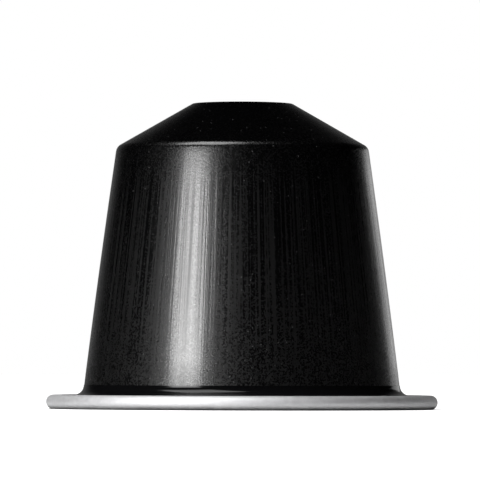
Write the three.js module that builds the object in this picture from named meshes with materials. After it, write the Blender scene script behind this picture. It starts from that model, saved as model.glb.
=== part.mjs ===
// A single-serve coffee pod, standing on its rolled rim with the narrow end up.
// It has three pieces: a deep-drawn aluminium cup, a sealing ring bonded into the corner of the cup's
// flange, and a foil lid heat-sealed to the flange's underside. The pod is sealed and full, so the cup
// and the coffee in it are one solid.
// Millimetres, +Z up. The origin is on the axis, in the plane that the rim rests on.

import * as THREE from "three";

// Cup, measured on its outside
const height = 28.87;
const topDiameter = 9.44;
const coneHeight = 4.12;
const shoulderDiameter = 23.8;
const wallCrown = 0.065;

// Dimple in the top
const landWidth = 0.45;
const dimpleDepth = 1.3;
const dimpleSlope = THREE.MathUtils.degToRad(45);

// Radii of the drawn corners
const topRound = 0.25;
const landRound = 0.2;
const dimpleRound = 0.5;
const shoulderRound = 0.85;
const footBend = 0.35;

// Flange and rolled rim: the sheet runs out flat, dips, and rolls up and back over the flange
const sheet = 0.12;
const rimDiameter = 37;
const flangeWidth = 3.39;
const beadDiameter = 1.34;
const restWidth = 0.2;
const flangeLift = 0.36;
const seamGap = 0.2;

// Sealing ring
const sealLand = 0.84;
const sealScoop = 0.92;
const sealLip = 0.02;
const sealRound = 0.12;
const sealClearance = 0.08;

// Foil lid
const foil = 0.05;
const lidClearance = 0.2;
const sealBand = 2.4;
const lidDome = 0.12;

// Thickness of the bond between two pieces
const bond = 0.02;

// Fineness of the mesh
const turns = 72;
const wallSteps = 5;
const domeSteps = 4;
const arcStep = THREE.MathUtils.degToRad(24);

const shoulderHeight = height - coneHeight;
const footDiameter = rimDiameter - 2 * flangeWidth;
const flangeTop = flangeLift + sheet;

// The roll is pressed flat where it rests, so its centre is a little lower than its radius
const beadRadius = beadDiameter / 2;
const beadCentre = at(rimDiameter / 2 - beadRadius, Math.sqrt(beadRadius ** 2 - (restWidth / 2) ** 2));

// The lid's edge stays clear of the roll
const lidEdge = rimPoint(beadRadius, flangeLift).x - lidClearance;

function at(radius, z) {
  return new THREE.Vector2(radius, z);
}

// The cup's outside radius at a height: a cone, crowned a little as drawing leaves it
function wallRadius(z) {
  const rise = (z - flangeTop) / (shoulderHeight - flangeTop);
  const straight = THREE.MathUtils.lerp(footDiameter / 2, shoulderDiameter / 2, rise);
  return straight + 4 * wallCrown * rise * (1 - rise);
}

// Where a circle about the roll's centre reaches a height, on the side of the pod's axis
function rimPoint(radius, z) {
  return at(beadCentre.x - Math.sqrt(radius ** 2 - (z - beadCentre.y) ** 2), z);
}

// The direction from the roll's centre to such a point
function rimAngle(radius, z) {
  return rimPoint(radius, z).sub(beadCentre).angle();
}

// Points on an arc about a centre, from one angle to another, both ends included
function arc(centre, radius, from, to) {
  const steps = Math.max(1, Math.ceil(Math.abs(to - from) / arcStep));
  return Array.from({ length: steps + 1 }, (_, i) => {
    const angle = THREE.MathUtils.lerp(from, to, i / steps);
    return at(centre.x + radius * Math.cos(angle), centre.y + radius * Math.sin(angle));
  });
}

// A run of corners as points, with each corner that states a round made an arc of that radius
function rounded(corners) {
  return corners.flatMap(({ point, round }, i) => {
    if (!round) return [point];
    const back = corners[i - 1].point.clone().sub(point).normalize();
    const ahead = corners[i + 1].point.clone().sub(point).normalize();
    const half = Math.acos(back.dot(ahead)) / 2;
    const middle = back.clone().add(ahead).normalize();
    const centre = point.clone().addScaledVector(middle, round / Math.sin(half));
    const start = point.clone().addScaledVector(back, round / Math.tan(half)).sub(centre).angle();
    const turn = (Math.PI - 2 * half) * -Math.sign(back.cross(ahead));
    return arc(centre, round, start, start + turn);
  });
}

// The face that the lid bears on, from the axis out to where the sealed band starts, at a given
// height of that band. The coffee's gas domes it outwards a little.
function domed(z) {
  return Array.from({ length: domeSteps + 1 }, (_, i) => {
    const share = i / domeSteps;
    return at((lidEdge - sealBand) * share, z - lidDome * (1 - share ** 2));
  });
}

// The bare outer face of the roll, from the flange's underside round to the sheet's free edge. Its
// arcs meet where the rim is widest.
function rollOutside() {
  const halfRest = Math.asin(restWidth / 2 / beadRadius);
  const down = 1.5 * Math.PI;
  const widest = 2 * Math.PI;
  return [
    ...arc(beadCentre, beadRadius, rimAngle(beadRadius, flangeLift), down - halfRest),
    ...arc(beadCentre, beadRadius, down + halfRest, widest),
    ...arc(beadCentre, beadRadius, widest, freeEdge()).slice(1),
  ];
}

// The lacquered inner face of the roll, from the sheet's free edge back to the flange
function rollInside() {
  const radius = beadRadius - sheet;
  return arc(beadCentre, radius, freeEdge(), rimAngle(radius, flangeTop));
}

// The direction of the sheet's free edge, which stops one seam gap above the flange
function freeEdge() {
  return 2 * Math.PI + rimAngle(beadRadius - sheet, flangeTop + seamGap);
}

// The lacquered outside of the cup, from the foot of the wall up to the middle of the dimple
function cupOutside() {
  const topRadius = topDiameter / 2;
  const landInside = topRadius - landWidth;
  const dimpleFloor = height - dimpleDepth;
  const wall = Array.from({ length: wallSteps - 1 }, (_, i) => {
    const z = THREE.MathUtils.lerp(flangeTop, shoulderHeight, (i + 1) / wallSteps);
    return { point: at(wallRadius(z), z) };
  });
  return rounded([
    { point: rimPoint(beadRadius - sheet, flangeTop) },
    { point: at(footDiameter / 2, flangeTop), round: footBend },
    ...wall,
    { point: at(shoulderDiameter / 2, shoulderHeight), round: shoulderRound },
    { point: at(topRadius, height), round: topRound },
    { point: at(landInside, height), round: landRound },
    { point: at(landInside - dimpleDepth / Math.tan(dimpleSlope), dimpleFloor), round: dimpleRound },
    { point: at(0, dimpleFloor) },
  ]).slice(1);
}

// The sealing ring's section: its bonded faces, then its flat land and the scoop up to a thin lip
function sealSection() {
  const base = flangeTop + bond;
  const landHeight = base + sealLand;
  const lipHeight = landHeight + sealScoop;
  const inside = (z) => wallRadius(z) + bond;
  const outside = beadCentre.x - beadRadius - sealClearance;
  const scoop = at(inside(lipHeight) + sealLip + sealScoop, lipHeight);
  return rounded([
    { point: at(inside(lipHeight), lipHeight) },
    { point: at(inside(flangeTop), base), round: footBend - bond },
    { point: at(outside, base) },
    { point: at(outside, landHeight), round: sealRound },
    ...arc(scoop, sealScoop, 1.5 * Math.PI, Math.PI).map((point) => ({ point })),
  ]);
}

// The foil lid's section: domed inside, flat where it is sealed
function lidSection() {
  const upper = flangeLift - bond;
  const lower = upper - foil;
  return [...domed(lower), at(lidEdge, lower), at(lidEdge, upper), ...domed(upper).reverse()];
}

// Turns a section about the Z axis. A section that starts off the axis closes on its first point.
function revolve(name, section, material) {
  const outline = section[0].x > 0 ? [...section, section[0]] : section;
  const geometry = new THREE.LatheGeometry(outline, turns).rotateX(Math.PI / 2);
  const mesh = new THREE.Mesh(geometry, material);
  mesh.name = name;
  return mesh;
}

const lacquer = new THREE.Color(0x0a0a0b);
const aluminium = new THREE.Color(0xc2c3c6);

// The cup is bare metal under the flange and round the roll, and lacquered past the sheet's free edge
function makeCup() {
  const bare = [...domed(flangeLift), ...rollOutside()];
  const section = [...bare, ...rollInside(), ...cupOutside()];
  const material = new THREE.MeshStandardMaterial({ vertexColors: true, roughness: 0.38, metalness: 0.6 });
  const cup = revolve("cup", section, material);
  const colours = Array.from({ length: cup.geometry.attributes.position.count }, (_, i) =>
    (i % section.length < bare.length ? aluminium : lacquer).toArray(),
  );
  cup.geometry.setAttribute("color", new THREE.Float32BufferAttribute(colours.flat(), 3));
  return cup;
}

function makeSealRing() {
  const elastomer = new THREE.MeshStandardMaterial({ color: 0x0d0d0e, roughness: 0.3, metalness: 0 });
  return revolve("seal_ring", sealSection(), elastomer);
}

function makeLid() {
  const metal = new THREE.MeshStandardMaterial({ color: aluminium, roughness: 0.35, metalness: 1 });
  return revolve("foil_lid", lidSection(), metal);
}

const pod = new THREE.Group();
pod.add(makeCup(), makeSealRing(), makeLid());

export default pod;
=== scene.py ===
import math

import bpy
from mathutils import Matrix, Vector


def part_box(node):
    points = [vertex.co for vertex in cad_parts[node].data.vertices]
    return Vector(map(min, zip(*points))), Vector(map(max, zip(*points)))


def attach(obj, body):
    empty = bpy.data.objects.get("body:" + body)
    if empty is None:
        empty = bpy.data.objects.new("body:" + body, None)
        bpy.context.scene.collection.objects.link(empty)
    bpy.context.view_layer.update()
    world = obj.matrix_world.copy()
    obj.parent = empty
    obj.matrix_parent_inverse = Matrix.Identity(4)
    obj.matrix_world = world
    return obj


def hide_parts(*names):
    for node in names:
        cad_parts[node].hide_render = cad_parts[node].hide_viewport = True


# A single-serve coffee pod on a pale surface, seen almost level with its rim.
# Metres, +Z up. The pod's axis is the Z axis, and its rim rests on z = 0.

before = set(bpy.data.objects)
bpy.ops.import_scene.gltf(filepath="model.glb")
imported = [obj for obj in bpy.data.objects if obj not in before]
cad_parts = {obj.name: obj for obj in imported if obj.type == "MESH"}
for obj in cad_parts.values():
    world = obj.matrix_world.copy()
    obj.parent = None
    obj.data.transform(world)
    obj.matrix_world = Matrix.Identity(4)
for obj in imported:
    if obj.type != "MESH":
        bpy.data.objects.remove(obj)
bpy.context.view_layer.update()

MM = 0.001
cup_low, cup_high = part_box("cup")

# Cup, measured on its outside
HEIGHT = cup_high.z
RIM_RADIUS = cup_high.x
TOP_RADIUS = 4.72 * MM
SHOULDER_RADIUS = 11.9 * MM
SHOULDER_HEIGHT = HEIGHT - 4.12 * MM
FLANGE_WIDTH = 3.39 * MM
FOOT_RADIUS = RIM_RADIUS - FLANGE_WIDTH
WALL_CROWN = 0.065 * MM
LAND_WIDTH = 0.45 * MM
DIMPLE_DEPTH = 1.3 * MM

# Radii of the drawn corners
TOP_ROUND = 0.25 * MM
LAND_ROUND = 0.2 * MM
DIMPLE_ROUND = 0.5 * MM
SHOULDER_ROUND = 0.85 * MM
FOOT_BEND = 0.35 * MM

# Flange and rolled rim
SHEET = 0.12 * MM
BEAD_RADIUS = 0.67 * MM
HALF_REST = 0.1 * MM
FLANGE_LIFT = 0.36 * MM
FLANGE_TOP = FLANGE_LIFT + SHEET
SEAM_GAP = 0.2 * MM
BEAD_CENTRE = Vector((RIM_RADIUS - BEAD_RADIUS, math.sqrt(BEAD_RADIUS**2 - HALF_REST**2)))

# Sealing ring and foil lid
BOND = 0.02 * MM
SEAL_LAND = 0.84 * MM
SEAL_SCOOP = 0.92 * MM
SEAL_LIP = 0.02 * MM
SEAL_ROUND = 0.12 * MM
SEAL_CLEARANCE = 0.08 * MM
FOIL = 0.05 * MM
LID_CLEARANCE = 0.2 * MM
SEAL_BAND = 2.4 * MM
LID_DOME = 0.12 * MM

# Fineness of the meshes
TURNS = 240
ARC_STEP = math.radians(6)
WALL_STEPS = 24
DOME_STEPS = 16
SHARP_ANGLE = math.radians(40)

# The photograph's camera
PHOTO_PIXELS = 480
PIXELS_PER_METRE = 10580
AXIS_PIXEL = 242.25
REST_PIXEL = 409.1
SENSOR = 36
EYE_DISTANCE = 0.524
EYE_HEIGHT = 0.004
ROLL = math.radians(0.16)

# The studio: strengths are radiances, where 1 is white
LAMP_DISTANCE = 0.5
MIRRORED = 0.14
FILL = 0.15
FLOOR_REACH = 2.0
FLOOR_GLOW = 0.9
GLOW_SHADOW = 20 * MM
CONTACT_SHADOW = 1.2 * MM


def at(radius, z):
    return Vector((radius, z))


def angle_of(v):
    return math.atan2(v.y, v.x) % (2 * math.pi)


def cross(a, b):
    return a.x * b.y - a.y * b.x


def mix(a, b, share):
    return a + (b - a) * share


def wall_radius(z):
    """The cup's outside radius at a height: a cone, crowned a little."""
    rise = (z - FLANGE_TOP) / (SHOULDER_HEIGHT - FLANGE_TOP)
    return mix(FOOT_RADIUS, SHOULDER_RADIUS, rise) + 4 * WALL_CROWN * rise * (1 - rise)


def rim_point(radius, z):
    """Where a circle about the roll's centre reaches a height, on the side of the axis."""
    return at(BEAD_CENTRE.x - math.sqrt(radius**2 - (z - BEAD_CENTRE.y) ** 2), z)


def rim_angle(radius, z):
    return angle_of(rim_point(radius, z) - BEAD_CENTRE)


def arc(centre, radius, start, end):
    steps = max(1, math.ceil(abs(end - start) / ARC_STEP))
    angles = [mix(start, end, i / steps) for i in range(steps + 1)]
    return [centre + radius * at(math.cos(a), math.sin(a)) for a in angles]


def rounded(corners):
    """A run of (point, round) corners as points, with each round made an arc."""
    points = []
    for i, (point, radius) in enumerate(corners):
        if not radius:
            points.append(point)
            continue
        back = (corners[i - 1][0] - point).normalized()
        ahead = (corners[i + 1][0] - point).normalized()
        half = math.acos(back.dot(ahead)) / 2
        centre = point + (back + ahead).normalized() * (radius / math.sin(half))
        start = angle_of(point + back * (radius / math.tan(half)) - centre)
        turn = math.copysign(math.pi - 2 * half, -cross(back, ahead))
        points += arc(centre, radius, start, start + turn)
    return points


def domed(z):
    """The face that the lid bears on, from the axis to the sealed band."""
    shares = [i / DOME_STEPS for i in range(DOME_STEPS + 1)]
    return [at((LID_EDGE - SEAL_BAND) * s, z - LID_DOME * (1 - s**2)) for s in shares]


LID_EDGE = rim_point(BEAD_RADIUS, FLANGE_LIFT).x - LID_CLEARANCE


def free_edge():
    return 2 * math.pi + rim_angle(BEAD_RADIUS - SHEET, FLANGE_TOP + SEAM_GAP)


def roll_outside():
    half_rest = math.asin(HALF_REST / BEAD_RADIUS)
    down = 1.5 * math.pi
    inner = arc(BEAD_CENTRE, BEAD_RADIUS, rim_angle(BEAD_RADIUS, FLANGE_LIFT), down - half_rest)
    return inner + arc(BEAD_CENTRE, BEAD_RADIUS, down + half_rest, free_edge())


def roll_inside():
    radius = BEAD_RADIUS - SHEET
    return arc(BEAD_CENTRE, radius, free_edge(), rim_angle(radius, FLANGE_TOP))


def cup_outside():
    land_inside = TOP_RADIUS - LAND_WIDTH
    dimple_floor = HEIGHT - DIMPLE_DEPTH
    heights = [mix(FLANGE_TOP, SHOULDER_HEIGHT, i / WALL_STEPS) for i in range(1, WALL_STEPS)]
    return rounded([
        (rim_point(BEAD_RADIUS - SHEET, FLANGE_TOP), 0),
        (at(FOOT_RADIUS, FLANGE_TOP), FOOT_BEND),
        *[(at(wall_radius(z), z), 0) for z in heights],
        (at(SHOULDER_RADIUS, SHOULDER_HEIGHT), SHOULDER_ROUND),
        (at(TOP_RADIUS, HEIGHT), TOP_ROUND),
        (at(land_inside, HEIGHT), LAND_ROUND),
        (at(land_inside - DIMPLE_DEPTH, dimple_floor), DIMPLE_ROUND),
        (at(0, dimple_floor), 0),
    ])[1:]


def seal_section():
    base = FLANGE_TOP + BOND
    land_height = base + SEAL_LAND
    lip_height = land_height + SEAL_SCOOP
    lip_radius = wall_radius(lip_height) + BOND
    outside = BEAD_CENTRE.x - BEAD_RADIUS - SEAL_CLEARANCE
    scoop = at(lip_radius + SEAL_LIP + SEAL_SCOOP, lip_height)
    return rounded([
        (at(lip_radius, lip_height), 0),
        (at(wall_radius(FLANGE_TOP) + BOND, base), FOOT_BEND - BOND),
        (at(outside, base), 0),
        (at(outside, land_height), SEAL_ROUND),
        *[(point, 0) for point in arc(scoop, SEAL_SCOOP, 1.5 * math.pi, math.pi)],
    ])


def lid_section():
    upper = FLANGE_LIFT - BOND
    lower = upper - FOIL
    return domed(lower) + [at(LID_EDGE, lower), at(LID_EDGE, upper)] + domed(upper)[::-1]


def revolve(name, section, slots, slot_of=lambda i: 0):
    """Turns a section about the Z axis. slot_of gives the material of the band after a point."""
    ring = section[0].x > 0
    rows = []
    vertices = []
    for point in section:
        count = TURNS if point.x > 0 else 1
        rows.append([len(vertices) + i for i in range(count)])
        for i in range(count):
            angle = 2 * math.pi * i / TURNS
            vertices.append((point.x * math.cos(angle), point.x * math.sin(angle), point.y))
    faces = []
    slot_indices = []
    for j in range(len(rows) if ring else len(rows) - 1):
        low, high = rows[j], rows[(j + 1) % len(rows)]
        for i in range(TURNS):
            k = (i + 1) % TURNS
            corners = [low[i % len(low)], low[k % len(low)], high[k % len(high)], high[i % len(high)]]
            faces.append(list(dict.fromkeys(corners)))
            slot_indices.append(slot_of(j))
    mesh = bpy.data.meshes.new(name)
    mesh.from_pydata(vertices, [], faces)
    for material in slots:
        mesh.materials.append(material)
    mesh.polygons.foreach_set("material_index", slot_indices)
    mesh.shade_smooth()
    mesh.set_sharp_from_angle(angle=SHARP_ANGLE)
    piece = bpy.data.objects.new(name, mesh)
    bpy.context.collection.objects.link(piece)
    return piece


class Shader:
    """A node tree with short calls for the nodes that the materials are made of."""

    def __init__(self, owner):
        owner.use_nodes = True
        self.tree = owner.node_tree
        self.tree.nodes.clear()

    def node(self, kind, inputs, **settings):
        made = self.tree.nodes.new(kind)
        for key, value in settings.items():
            setattr(made, key, value)
        for key, value in inputs.items():
            if isinstance(value, bpy.types.NodeSocket):
                self.tree.links.new(value, made.inputs[key])
            else:
                made.inputs[key].default_value = value
        return made

    def math(self, operation, *values):
        return self.node("ShaderNodeMath", dict(enumerate(values)), operation=operation).outputs[0]

    def vector(self, operation, *values):
        inputs = dict(enumerate(values))
        return self.node("ShaderNodeVectorMath", inputs, operation=operation).outputs[0]

    def ramp(self, value, low, high, start=0.0, end=1.0):
        inputs = {"Value": value, "From Min": low, "From Max": high, "To Min": start, "To Max": end}
        made = self.node("ShaderNodeMapRange", inputs, interpolation_type="SMOOTHSTEP")
        return made.outputs["Result"]

    def noise(self, place, scale=1.0, detail=2.0, roughness=0.5):
        inputs = {"Vector": place, "Scale": scale, "Detail": detail, "Roughness": roughness}
        return self.node("ShaderNodeTexNoise", inputs).outputs["Fac"]

    def colours(self, share, first, second):
        made = self.tree.nodes.new("ShaderNodeMix")
        made.data_type = "RGBA"
        sockets = {s.identifier: s for s in made.inputs}
        self.tree.links.new(share, sockets["Factor_Float"])
        sockets["A_Color"].default_value = (*first, 1)
        sockets["B_Color"].default_value = (*second, 1)
        return {s.identifier: s for s in made.outputs}["Result_Color"]

    def bump(self, height, depth):
        inputs = {"Height": height, "Distance": depth, "Strength": 1.0}
        return self.node("ShaderNodeBump", inputs).outputs["Normal"]

    def cells(self, place, scale):
        """Cells scattered through space: a random number for each, and the distance to its middle."""
        made = self.node("ShaderNodeTexVoronoi", {"Vector": place, "Scale": scale}).outputs
        number = self.node("ShaderNodeSeparateColor", {0: made["Color"]}).outputs[0]
        return number, made["Distance"]

    def place(self):
        return self.node("ShaderNodeTexCoord", {}).outputs["Object"]

    def height(self, place):
        return self.node("ShaderNodeSeparateXYZ", {0: place}).outputs["Z"]

    def around(self, place, per_radian, per_metre):
        """Coordinates that run round the pod and up it, with no seam."""
        flat = self.vector("NORMALIZE", self.vector("MULTIPLY", place, (1, 1, 0)))
        turned = self.vector("MULTIPLY", flat, (per_radian, per_radian, 0))
        return self.vector("ADD", turned, self.vector("MULTIPLY", place, (0, 0, per_metre)))

    def openness(self, distance):
        """1 where nothing stands within the distance, and less near the pod."""
        made = self.node("ShaderNodeAmbientOcclusion", {"Distance": distance}, samples=16)
        return made.outputs["AO"]

    def surface(self, shader):
        self.node("ShaderNodeOutputMaterial", {"Surface": shader})


def lacquer():
    """Black lacquer over drawn aluminium: fine lines up the wall, grain low down, a little dust."""
    material = bpy.data.materials.new("black_lacquer")
    s = Shader(material)
    place = s.place()
    height = s.height(place)
    streaks = s.noise(s.around(place, 24, 8), detail=1)
    lines = s.noise(s.around(place, 60, 30), detail=2, roughness=0.6)
    scored = s.noise(s.around(place, 48, 16), detail=1)
    grain = s.noise(place, 6500, 3, 0.6)

    # The lines are full strength half way up, faint at the foot and gone at the shoulder
    lined = s.math(
        "MULTIPLY",
        s.ramp(height, 2 * MM, 14 * MM, 0.25, 1.0),
        s.ramp(height, 24.6 * MM, 19 * MM),
    )
    drawn = s.math("MULTIPLY", s.math("ADD", streaks, lines), lined)
    around_axis = s.node("ShaderNodeTangent", {}, direction_type="RADIAL", axis="Z").outputs[0]

    # Dust: a small dot in the middle of most cells
    number, distance = s.cells(place, 1500)
    chosen = s.math("GREATER_THAN", number, 0.1)
    dust = s.math("MULTIPLY", chosen, s.math("LESS_THAN", distance, 0.07))

    # The clear coat is weaker in the scored lines and at both ends of the wall
    worn = s.math("MULTIPLY", s.ramp(scored, 0.47, 0.36, 0.0, 0.45), lined)
    ends = s.math(
        "ADD",
        s.ramp(height, 21.5 * MM, 24.2 * MM, 0.0, 0.4),
        s.ramp(height, 5.2 * MM, 2.2 * MM, 0.0, 0.45),
    )

    # Under it, the roughness varies from line to line, and from grain to grain more low down. A squared
    # random number is 0.33 on average.
    sheen = s.ramp(height, 8 * MM, 23 * MM, 0.31, 0.25)
    cell, _ = s.cells(place, 8000)
    mottle = s.math("SUBTRACT", s.math("MULTIPLY", cell, cell), 0.33)
    hair = s.math("MULTIPLY", s.ramp(lines, 0.35, 0.65, -0.5, 0.5), lined)
    pitted = s.math("MULTIPLY", mottle, s.ramp(height, 4 * MM, 16 * MM, 0.3, 0.16))
    uneven = s.math("ADD", pitted, s.math("MULTIPLY", hair, 0.24))
    shader = s.node("ShaderNodeBsdfPrincipled", {
        "Base Color": s.colours(dust, (0.0004, 0.0004, 0.0005), (0.1, 0.1, 0.1)),
        "Roughness": s.math("ADD", sheen, uneven),
        "IOR": 1.4,
        "Anisotropic": 0.6,
        "Tangent": around_axis,
        "Coat Weight": s.math("SUBTRACT", s.math("SUBTRACT", 1.0, worn), ends),
        "Coat Roughness": 0.2,
        "Coat IOR": 1.5,
        "Normal": s.bump(s.math("ADD", drawn, s.math("MULTIPLY", grain, 1.6)), 0.016 * MM),
        "Coat Normal": s.bump(s.math("ADD", drawn, s.math("MULTIPLY", grain, 0.2)), 0.014 * MM),
    })
    s.surface(shader.outputs[0])
    return material


def bare_aluminium():
    """Bare satin aluminium, finely mottled."""
    material = bpy.data.materials.new("bare_aluminium")
    s = Shader(material)
    place = s.place()
    mottle = s.noise(place, 2600, 3, 0.6)
    grain = s.noise(place, 14000, 2)
    colour = s.colours(mottle, (0.74, 0.74, 0.75), (0.9, 0.9, 0.91))
    relief = s.math("ADD", mottle, s.math("MULTIPLY", grain, 0.4))
    shader = s.node("ShaderNodeBsdfPrincipled", {
        "Base Color": colour,
        "Metallic": 1.0,
        "Roughness": s.ramp(mottle, 0.3, 0.7, 0.6, 0.7),
        "Normal": s.bump(relief, 0.02 * MM),
    })
    s.surface(shader.outputs[0])
    return material


def elastomer():
    """Smooth black elastomer with a fine moulded texture."""
    material = bpy.data.materials.new("black_elastomer")
    s = Shader(material)
    place = s.place()
    grain = s.noise(place, 6000, 2)
    shader = s.node("ShaderNodeBsdfPrincipled", {
        "Base Color": s.colours(grain, (0.002, 0.002, 0.0022), (0.004, 0.004, 0.0044)),
        "Roughness": s.ramp(grain, 0.3, 0.7, 0.11, 0.15),
        "IOR": 1.28,
        "Normal": s.bump(grain, 0.001 * MM),
    })
    s.surface(shader.outputs[0])
    return material


def foil():
    """The lid's foil: bare satin aluminium, pressed with a fine weave where it is sealed."""
    material = bpy.data.materials.new("lid_foil")
    s = Shader(material)
    place = s.place()
    mottle = s.noise(place, 900, 3, 0.6)
    creases = s.noise(place, 240, 4, 0.65)
    flat = s.vector("MULTIPLY", place, (1, 1, 0))
    radius = s.node("ShaderNodeVectorMath", {0: flat}, operation="LENGTH").outputs["Value"]
    sealed = s.ramp(radius, LID_EDGE - SEAL_BAND, LID_EDGE - SEAL_BAND + 0.2 * MM)
    pressed = s.noise(place, 5200, 1)
    relief = s.math("ADD", creases, s.math("MULTIPLY", s.math("MULTIPLY", pressed, sealed), 0.5))
    shader = s.node("ShaderNodeBsdfPrincipled", {
        "Base Color": s.colours(mottle, (0.72, 0.72, 0.73), (0.84, 0.84, 0.85)),
        "Metallic": 1.0,
        "Roughness": s.ramp(mottle, 0.3, 0.7, 0.3, 0.4),
        "Normal": s.bump(relief, 0.08 * MM),
    })
    s.surface(shader.outputs[0])
    return material


def make_pod():
    black, bare = lacquer(), bare_aluminium()
    underside = domed(FLANGE_LIFT) + roll_outside()
    section = underside + roll_inside() + cup_outside()
    last_bare = len(underside) - 1
    cup = revolve("pod_cup", section, [black, bare], lambda i: 1 if i < last_bare else 0)
    ring = revolve("pod_seal_ring", seal_section(), [elastomer()])
    lid = revolve("pod_foil_lid", lid_section(), [foil()])
    for piece, node, slot in (
        (cup, "cup", "lacquered_aluminium"),
        (ring, "seal_ring", "elastomer"),
        (lid, "foil_lid", "bare_aluminium"),
    ):
        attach(piece, "root")
        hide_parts(node)


def aim(thing, target):
    thing.rotation_euler = (target - thing.location).to_track_quat("-Z", "Y").to_euler()


def softbox(name, azimuth, elevation, width, height, radiance):
    """A rectangular lamp that faces the pod. Azimuth 0 is the camera's side, and negative is left."""
    centre = Vector((0, 0, HEIGHT / 2))
    a, e = math.radians(azimuth), math.radians(elevation)
    lamp = bpy.data.lights.new(name, "AREA")
    lamp.shape = "RECTANGLE"
    lamp.size, lamp.size_y = width, height

    # A lamp's radiance is its power over four times its area
    lamp.energy = 4 * radiance * width * height
    box = bpy.data.objects.new(name, lamp)
    direction = Vector((math.sin(a) * math.cos(e), -math.cos(a) * math.cos(e), math.sin(e)))
    box.location = centre + LAMP_DISTANCE * direction
    box.visible_camera = False
    bpy.context.collection.objects.link(box)
    aim(box, centre)


def make_lights():
    softbox("key_strip", azimuth=-42, elevation=9, width=0.19, height=0.16, radiance=12)
    softbox("upper_strip", azimuth=-50, elevation=62, width=0.32, height=0.3, radiance=5)
    softbox("right_strip", azimuth=153, elevation=4, width=0.2, height=0.1, radiance=0.5)


def make_world():
    """White for the camera. What the pod mirrors is dim, and lighter behind it."""
    world = bpy.data.worlds.new("studio")
    bpy.context.scene.world = world
    s = Shader(world)
    path = s.node("ShaderNodeLightPath", {}).outputs
    direction = s.node("ShaderNodeTexCoord", {}).outputs["Generated"]
    parts = s.node("ShaderNodeSeparateXYZ", {0: direction}).outputs
    behind = s.ramp(parts["Y"], 0.75, 1.0)
    low = s.ramp(parts["Z"], 0.6, 0.1)
    mirrored = s.math("MULTIPLY", s.math("MULTIPLY", behind, low), MIRRORED)
    seen = s.math("MAXIMUM", path["Is Glossy Ray"], path["Is Transmission Ray"])
    strength = s.math("ADD", path["Is Camera Ray"], s.math("MULTIPLY", seen, mirrored))
    fill = s.math("MULTIPLY", path["Is Diffuse Ray"], FILL)
    background = s.node("ShaderNodeBackground", {"Strength": s.math("ADD", strength, fill)})
    background.inputs["Color"].default_value = (1, 1, 1, 1)
    s.node("ShaderNodeOutputWorld", {"Surface": background.outputs[0]})


def make_floor():
    """A pale surface that the camera sees as white, with the pod's shadow from the lamps on it, and a
    painted shadow around the pod in its colour and its glow.
    """
    mesh = bpy.data.meshes.new("floor")
    corners = [(x * FLOOR_REACH, y * FLOOR_REACH, 0) for x, y in ((-1, -1), (1, -1), (1, 1), (-1, 1))]
    mesh.from_pydata(corners, [], [(0, 1, 2, 3)])
    floor = bpy.data.objects.new("floor", mesh)
    bpy.context.collection.objects.link(floor)
    material = bpy.data.materials.new("pale_floor")
    mesh.materials.append(material)
    s = Shader(material)
    # Painted contact shadow: the floor's colour goes nearly black where the pod stands within
    # CONTACT_SHADOW of it
    contact = s.openness(CONTACT_SHADOW)
    white = s.colours(s.ramp(contact, 0.3, 1.0), (0.02, 0.02, 0.02), (0.85, 0.85, 0.85))
    matt = s.node("ShaderNodeBsdfDiffuse", {"Color": white}).outputs[0]
    camera = s.node("ShaderNodeLightPath", {}).outputs["Is Camera Ray"]
    # Painted shadow: the glow that the camera sees is dimmed within GLOW_SHADOW of the pod
    seen = s.math("MULTIPLY", camera, s.math("MULTIPLY", s.openness(GLOW_SHADOW), FLOOR_GLOW))
    glow = s.node("ShaderNodeEmission", {"Strength": seen}).outputs[0]
    s.surface(s.node("ShaderNodeAddShader", {0: matt, 1: glow}).outputs[0])


def make_camera():
    data = bpy.data.cameras.new("camera")
    data.sensor_width = SENSOR
    data.lens = SENSOR * PIXELS_PER_METRE * EYE_DISTANCE / PHOTO_PIXELS
    data.clip_start, data.clip_end = 0.01, 10
    camera = bpy.data.objects.new("camera", data)
    side = (PHOTO_PIXELS / 2 - AXIS_PIXEL) / PIXELS_PER_METRE
    camera.location = Vector((side, -EYE_DISTANCE, EYE_HEIGHT))
    aim(camera, Vector((side, 0, (REST_PIXEL - PHOTO_PIXELS / 2) / PIXELS_PER_METRE)))
    camera.rotation_euler.rotate_axis("Z", ROLL)
    bpy.context.collection.objects.link(camera)
    bpy.context.scene.camera = camera


make_pod()
make_floor()
make_world()
make_lights()
make_camera()
bpy.context.scene.view_settings.view_transform = "Standard"
